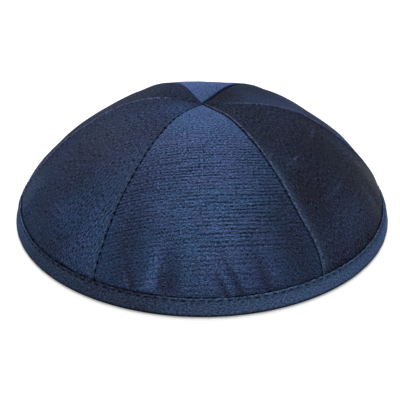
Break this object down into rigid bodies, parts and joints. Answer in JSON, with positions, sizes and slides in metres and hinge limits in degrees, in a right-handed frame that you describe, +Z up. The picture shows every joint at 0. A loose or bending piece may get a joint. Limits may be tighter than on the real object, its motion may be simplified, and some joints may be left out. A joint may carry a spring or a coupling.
{
  "type": "kippah skullcap",
  "caption": "Round satin skullcap sewn from curved gores, with a folded binding round its rim; it covers the crown of the head.",
  "frame": {"origin": "middle of the rim, on the surface that the cap lies on", "axes": "+Z up through the crown, -Y towards the front panel, +X to the right as seen from the front"},
  "size_m": [0.1758, 0.1738, 0.0542],
  "materials": {
    "crown_satin": "satin weave, navy blue",
    "binding_satin": "satin bias binding, navy blue, topstitched"
  },
  "bodies": {
    "root": {"panel_front": "crown_satin", "panel_front_right": "crown_satin", "panel_back_right": "crown_satin", "panel_back": "crown_satin", "panel_back_left": "crown_satin", "panel_front_left": "crown_satin", "rim_binding": "binding_satin"}
  },
  "joints": []
}
